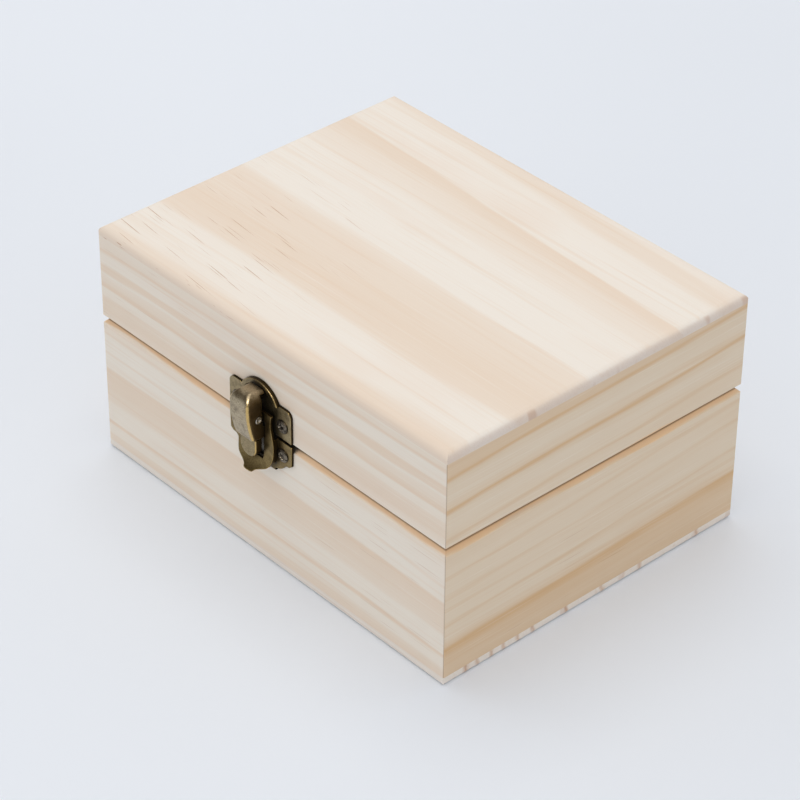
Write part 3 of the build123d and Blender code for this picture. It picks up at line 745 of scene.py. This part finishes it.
@dataclass
class RivetedPin:
    """Pin through the latch with a peened head at each end, along X, in millimetres."""

    radius: float = 0.75
    head_radius: float = 1.2
    head_thickness: float = 0.35
    crown_fall_share: float = 0.35
    dimple: float = 0.2
    dimple_width_share: float = 0.45
    stroke_share: float = 0.45
    columns: int = 96
    rows: int = 24

    def skin(self, width: float) -> Skin:
        """Compute the pin.

        Each head's face falls with the sixth power of the radius. A dimple deepens towards the
        middle in a bell curve, and with three strokes of the peening tool, a cosine of three
        times the turn.

        Args:
            width: Distance between the undersides of the two heads.

        Returns:
            The closed skin, with its axis along its third axis.
        """
        angle = np.linspace(0.0, 2.0 * math.pi, self.columns, endpoint=False)[None, :]
        radius = np.linspace(0.0, self.head_radius, self.rows + 1)[1:, None]
        share = radius / self.head_radius
        bell = np.exp(-(share / self.dimple_width_share) ** 2)
        strokes = 0.5 + 0.5 * np.cos(3.0 * angle)
        crown = self.head_thickness * (1.0 - self.crown_fall_share * share ** 6)
        face = crown - self.dimple * bell * (1.0 - self.stroke_share + self.stroke_share * strokes)
        half = width / 2.0
        flat = np.zeros((1, self.columns))
        reach = np.concatenate([radius + 0.0 * angle, flat + self.head_radius, flat + self.radius,
                                flat + self.radius, flat + self.head_radius, radius[::-1] + 0.0 * angle])
        height = np.concatenate([half + face, flat + half, flat + half, flat - half, flat - half,
                                 -half - face[::-1]])
        turned = np.broadcast_to(angle, reach.shape)
        rings = np.stack([reach * np.cos(turned), reach * np.sin(turned), height], axis=-1)
        middle = half + self.head_thickness - self.dimple * (1.0 - self.stroke_share / 2.0)
        return Skin.between_poles(rings, np.array([0.0, 0.0, middle]), np.array([0.0, 0.0, -middle]))


def stand_for(piece: bpy.types.Object, node: str, body: str) -> None:
    """Let a piece replace a CAD node and ride on its body."""
    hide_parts(node)
    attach(piece, body)


def dress(nodes: Sequence[str], material: bpy.types.Material) -> None:
    """Give CAD nodes one material.

    Args:
        nodes: The nodes' names.
        material: The material for all of them.
    """
    for name in nodes:
        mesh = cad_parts[name].data
        mesh.materials.clear()
        mesh.materials.append(material)
        LOG.info("dressed %s with %s", name, material.name)


@dataclass
class Carcass:
    """The mitred walls and the two panels."""

    def dress(self) -> None:
        """Give each board its own figure."""
        front = {"grain": Grain.FRONT, "face": -HALF_WIDTH, "mitred": True, "seam_at": SEAM, "shaded_by_latch": True,
                 "drift": 3.0, "early": tint(242, 234, 221)}
        right = {"grain": Grain.SIDE, "face": HALF_LENGTH, "mitred": True, "seam_at": SEAM,
                 "early": tint(231, 217, 196), "late": tint(216, 178, 132), "blush": tint(224, 200, 170)}
        boards = {
            "lid_top_panel": PineFinish(
                "pine_lid_top", Grain.PANEL, PANEL_TOP, TOP_RINGS, slope=0.022, fan=0.95, tilt=0.5, seed=4.0,
                duct_centre=(-52.0, -36.0), duct_reach=50.0, duct_slope=0.1, duct_share=0.7, drift=3.0),
            "base_bottom_panel": PineFinish(
                "pine_bottom", Grain.PANEL, 0.0, BOTTOM_RINGS, tilt=0.2, drift=1.8, seed=9.0,
                late=tint(204, 164, 130), end_tint=tint(232, 224, 214), end_share=0.3),
            "lid_front_wall": PineFinish(
                "pine_lid_front", rings=LID_FRONT_RINGS, slope=-0.012, seed=14.0,
                duct_centre=(-60.0, 58.0), **front),
            "base_front_wall": PineFinish(
                "pine_base_front", rings=BASE_FRONT_RINGS, slope=-0.006, seed=31.0,
                duct_centre=(40.0, 30.0), **front),
            "lid_right_wall": PineFinish(
                "pine_lid_right", rings=LID_RIGHT_RINGS, slope=-0.048, seed=22.0, **right),
            "base_right_wall": PineFinish(
                "pine_base_right", rings=BASE_RIGHT_RINGS, slope=-0.042, seed=37.0, **right),
        }
        hidden = (("back", Grain.FRONT, HALF_WIDTH, 41.0), ("left", Grain.SIDE, -HALF_LENGTH, 48.0))
        for side, grain, face, seed in hidden:
            for part, low, high in (("lid", SEAM, WALL_TOP), ("base", WALL_FOOT, SEAM)):
                places = np.linspace(low, high, len(PLAIN_SHADES)).tolist()
                boards[f"{part}_{side}_wall"] = PineFinish(
                    f"pine_{part}_{side}", grain, face, tuple(zip(places, PLAIN_SHADES)), slope=0.03,
                    seed=seed + low, mitred=True, seam_at=SEAM, drift=3.4)
        for node, finish in boards.items():
            dress([node], finish.material())


@dataclass
class Lattice:
    """The dividers between the bottle cells."""

    early: Colour = tint(238, 228, 210)
    late: Colour = tint(218, 186, 150)

    def dress(self) -> None:
        """Give each divider its own figure."""
        for number, node in enumerate(sorted(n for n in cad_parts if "divider" in n)):
            grain = Grain.FRONT if node.startswith("long") else Grain.SIDE
            finish = PineFinish(
                f"pine_{node}", grain, 0.0, DIVIDER_RINGS, slope=0.02, seed=60.0 + 5.3 * number,
                early=self.early, late=self.late)
            dress([node], finish.material())


@dataclass
class Ironwork:
    """The latch, the hinges and their screws, in millimetres, with the screws' turns in radians."""

    latch_head_radius: float = 2.15
    latch_head_height: float = 0.8
    latch_rim_height: float = 0.3
    latch_shank_radius: float = 0.95
    latch_screw_length: float = 6.0
    lid_turns: tuple[float, float] = (0.5, 0.28)
    base_turns: tuple[float, float] = (0.2, 0.75)
    hinge_head_radius: float = 1.5
    hinge_rim_height: float = -0.04
    hinge_shank_radius: float = 0.7
    hinge_screw_length: float = 5.0
    hinge_recess_depth: float = 0.35
    hinge_screw_spacing: float = 13.0
    hinge_first_turn: float = 0.3
    hinge_turn_step: float = 1.1
    leaf_thickness: float = 0.7
    hook_width: float = 8.4

    def dress(self) -> None:
        """Give the metal pieces their finishes and make the screws and the latch pin."""
        brass = AgedBrass().material()
        screw = Steel("screw_steel", tint(122, 113, 100), tint(46, 40, 33), roughness=0.18).material()
        pin = Steel("pin_steel", tint(214, 210, 200), tint(52, 47, 40), roughness=0.16, corner_reach=0.6,
                    patch=1500.0).material()
        spring = Steel("spring_steel", tint(120, 114, 104), tint(66, 62, 56), corner_reach=4.0).material()
        dress([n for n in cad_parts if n.endswith("leaf")], brass)
        dress(["latch_thumb_lever"], AgedBrass("aged_brass_lever", body=tint(160, 144, 110)).material())
        dress(["latch_catch_plate"], AgedBrass("aged_brass_catch", body=tint(160, 144, 110)).material())
        # The base plate's darker body colour is a painted dark reflection, for its lip tilted away from the
        # pale floor
        dress(["latch_base_plate"], AgedBrass("aged_brass_base", body=tint(142, 123, 82)).material())
        dress(["latch_hook"], AgedBrass("aged_brass_hook", edge_radius=0.7, crown_light_share=0.85).material())
        dress(["hinge_left_pin", "hinge_right_pin"], pin)
        dress(["latch_spring"], spring)
        for body in ("lid", "base"):
            self.latch_screws(body, screw)
            self.hinge_screws(body, screw)
        self.latch_pin(pin)

    def latch_screws(self, body: str, material: bpy.types.Material) -> None:
        """Make the two latch screws of one body."""
        node = f"latch_{body}_screws"
        low, high = (np.array(corner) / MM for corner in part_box(node))
        radius = self.latch_head_radius
        shape = WoodScrew(
            radius, self.latch_head_height, self.latch_rim_height, sink_depth=0.0,
            shank_radius=self.latch_shank_radius, length=self.latch_screw_length)
        turns = {"lid": self.lid_turns, "base": self.base_turns}[body]
        middle = (low[2] + high[2]) / 2.0
        seat = low[1] + self.latch_head_height
        skins = [
            shape.skin(turn).placed((x, seat, middle), (1, 0, 0), (0, 0, 1), (0, -1, 0))
            for x, turn in zip((low[0] + radius, high[0] - radius), turns)]
        stand_for(Skin.joined(skins).piece(f"{node}_turned", material), node, body)

    def hinge_screws(self, body: str, material: bpy.types.Material) -> None:
        """Make the four hinge screws of one body."""
        node = f"hinge_{body}_screws"
        low, high = (np.array(corner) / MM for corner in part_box(node))
        radius = self.hinge_head_radius
        shape = WoodScrew(
            radius, 0.0, self.hinge_rim_height, sink_depth=self.leaf_thickness,
            shank_radius=self.hinge_shank_radius, length=self.hinge_screw_length,
            recess_depth=self.hinge_recess_depth)
        middle = (low[2] + high[2]) / 2.0
        first, last = low[0] + radius, high[0] - radius
        places = (first, first + self.hinge_screw_spacing, last - self.hinge_screw_spacing, last)
        skins = [
            shape.skin(self.hinge_first_turn + self.hinge_turn_step * number).placed(
                (x, high[1], middle), (-1, 0, 0), (0, 0, 1), (0, 1, 0))
            for number, x in enumerate(places)]
        stand_for(Skin.joined(skins).piece(f"{node}_turned", material), node, body)

    def latch_pin(self, material: bpy.types.Material) -> None:
        """Make the pin through the hook, the lever and the lugs."""
        low, high = (np.array(corner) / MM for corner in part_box("latch_pin"))
        skin = RivetedPin().skin(self.hook_width)
        placed = skin.placed((low + high) / 2.0, (0, 1, 0), (0, 0, 1), (1, 0, 0))
        stand_for(placed.piece("latch_pin_peened", material), "latch_pin", "latch_rocker")


@dataclass
class Studio:
    """Pale floor, soft light and the camera, with angles in degrees and lengths in millimetres."""

    azimuth: float = 47.75
    elevation: float = 35.66
    roll: float = 0.46
    distance: float = 974.8
    focal_pixels: float = 3155.0
    picture_width: float = 800.0
    sensor: float = 36.0
    clip: tuple[float, float] = (50.0, 20000.0)
    aim: tuple[float, float, float] = (-14.13, 5.90, 20.11)
    floor_half: float = 4000.0
    world_strength: float = 0.75
    key_place: tuple[float, float, float] = (-300.0, 60.0, 1850.0)
    glint_place: tuple[float, float, float] = (420.0, -520.0, 880.0)

    def camera(self) -> None:
        """Place the camera: it looks along its azimuth and elevation at the aim point, a little rolled."""
        az, el, roll = (math.radians(a) for a in (self.azimuth, self.elevation, self.roll))
        forward = Vector((-math.sin(az) * math.cos(el), math.cos(az) * math.cos(el), -math.sin(el)))
        right = forward.cross(Vector((0, 0, 1))).normalized()
        down = forward.cross(right)
        turned_right = right * math.cos(roll) - down * math.sin(roll)
        turned_down = right * math.sin(roll) + down * math.cos(roll)
        data = bpy.data.cameras.new("camera")
        data.sensor_width = self.sensor
        data.lens = self.focal_pixels * self.sensor / self.picture_width
        data.clip_start, data.clip_end = (reach * MM for reach in self.clip)
        camera = bpy.data.objects.new("camera", data)
        bpy.context.scene.collection.objects.link(camera)
        axes = Matrix((turned_right, -turned_down, -forward)).transposed().to_4x4()
        place = Vector(self.aim) * MM - forward * (self.distance * MM)
        camera.matrix_world = Matrix.Translation(place) @ axes
        bpy.context.scene.camera = camera

    def floor(self) -> None:
        """A wide plain floor, a little uneven in its paleness, that keeps the box's shadow."""
        half = self.floor_half * MM
        corners = [(-half, -half, 0), (half, -half, 0), (half, half, 0), (-half, half, 0)]
        mesh = bpy.data.meshes.new("floor")
        mesh.from_pydata(corners, [], [(0, 1, 2, 3)])
        floor = bpy.data.objects.new("floor", mesh)
        bpy.context.scene.collection.objects.link(floor)
        made = bpy.data.materials.new("floor")
        made.use_nodes = True
        graph = Graph(made.node_tree)
        cloudy = graph.blotches(graph.object_axes(), [3.0] * 3, 1.0)
        colour = graph.blend(cloudy.ease(0.3, 0.7), tint(230, 235, 242), tint(234, 239, 246))
        graph.surface(graph.add("ShaderNodeBsdfPrincipled", None, {
            "Base Color": colour, "Roughness": 0.8, "Specular IOR Level": 0.1}))
        mesh.materials.append(made)

    def light(self, name: str, place: Sequence[float], size: float, watts: float, colour: Colour,
              on_matt: bool = True) -> None:
        """Hang one square soft lamp that faces the box.

        Args:
            name: The lamp's name.
            place: Where it hangs, in millimetres.
            size: Length of its side, in millimetres.
            watts: Its power.
            colour: Its colour.
            on_matt: Whether it lights matt surfaces as well as shining ones.
        """
        data = bpy.data.lights.new(name, "AREA")
        data.energy, data.size, data.color = watts, size * MM, colour[:3]
        lamp = bpy.data.objects.new(name, data)
        lamp.visible_diffuse = on_matt
        lamp.location = Vector(place) * MM
        lamp.rotation_euler = (-lamp.location).to_track_quat("-Z", "Y").to_euler()
        bpy.context.scene.collection.objects.link(lamp)

    def sky(self) -> None:
        """Even light from all round; what metal sees is pale low down and dark above, as in a studio."""
        world = bpy.data.worlds.new("sky")
        bpy.context.scene.world = world
        world.use_nodes = True
        graph = Graph(world.node_tree)
        height = graph.parts(graph.add("ShaderNodeTexCoord", None, None, "Generated"))[2]
        path = graph.add("ShaderNodeLightPath", None, None, "Is Camera Ray")
        outputs = path.socket.node.outputs
        glossy, through = (Signal(graph, outputs[kind]) for kind in ("Is Glossy Ray", "Is Transmission Ray"))
        shown = path.most(glossy).most(through)
        backdrop = graph.blend(height.ease(0.0, 0.3), tint(226, 232, 239), tint(104, 100, 94))
        lit = graph.add("ShaderNodeBackground", None, {
            "Color": tint(250, 250, 252), "Strength": self.world_strength})
        seen = graph.add("ShaderNodeBackground", None, {"Color": backdrop, "Strength": 1.0})
        mixed = graph.add("ShaderNodeMixShader", None, {0: shown, 1: lit, 2: seen})
        graph.add("ShaderNodeOutputWorld", None, {"Surface": mixed})

    def build(self) -> None:
        """Set up the whole studio."""
        self.camera()
        self.floor()
        self.sky()
        self.light("key", self.key_place, size=1500.0, watts=10.5, colour=tint(255, 252, 246))
        self.light("glint", self.glint_place, size=640.0, watts=18.0, colour=tint(255, 250, 240),
                   on_matt=False)
        bpy.context.scene.view_settings.view_transform = "Standard"


def main() -> None:
    """Build and dress the box in order."""
    logging.basicConfig(level=logging.INFO, format="%(name)s: %(message)s")
    Studio().build()
    Carcass().dress()
    Lattice().dress()
    Ironwork().dress()


if __name__ == "__main__":
    main()
